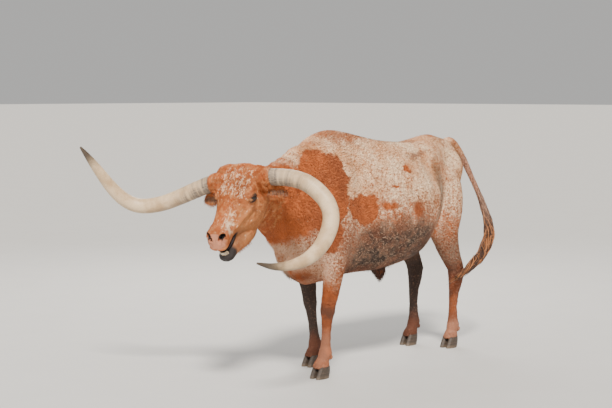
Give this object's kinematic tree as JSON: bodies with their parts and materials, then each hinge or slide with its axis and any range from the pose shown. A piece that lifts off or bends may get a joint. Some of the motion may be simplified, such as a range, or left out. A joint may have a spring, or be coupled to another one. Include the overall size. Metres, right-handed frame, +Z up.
{
  "type": "texas longhorn",
  "caption": "Standing longhorn steer with its head carried low and turned a little, mouth open, one horn curled forward and the other rising, for scenes of pasture.",
  "frame": {"origin": "middle of the bounds, on the floor", "axes": "+X from the head to the tail, +Y to the right of the animal, +Z up"},
  "size_m": [2.8042, 1.3502, 1.4745],
  "materials": {
    "hide_red": "short red-brown coat, matte",
    "hide_roan": "short white and red roan coat, matte",
    "hide_dark": "dark short coat of the lower jaw, with teeth",
    "eye": "wet dark eye",
    "horn": "ivory horn with a dark tip, semi-gloss",
    "hoof": "dark hoof, satin",
    "switch_hair": "long twisted red-brown hair"
  },
  "bodies": {
    "root": {"torso": "hide_roan", "neck": "hide_red", "head": "hide_red", "lower_jaw": "hide_dark", "eye_left": "eye", "eye_right": "eye", "horn_left": "horn", "horn_right": "horn", "ear_left": "hide_red", "ear_right": "hide_red", "foreleg_left": "hide_roan", "foreleg_left_claw_outer": "hoof", "foreleg_left_claw_inner": "hoof", "foreleg_right": "hide_roan", "foreleg_right_claw_outer": "hoof", "foreleg_right_claw_inner": "hoof", "hindleg_left": "hide_roan", "hindleg_left_claw_outer": "hoof", "hindleg_left_claw_inner": "hoof", "hindleg_right": "hide_roan", "hindleg_right_claw_outer": "hoof", "hindleg_right_claw_inner": "hoof", "tail_dock": "hide_roan", "tail_middle": "hide_roan", "tail_switch": "switch_hair"}
  },
  "joints": []
}
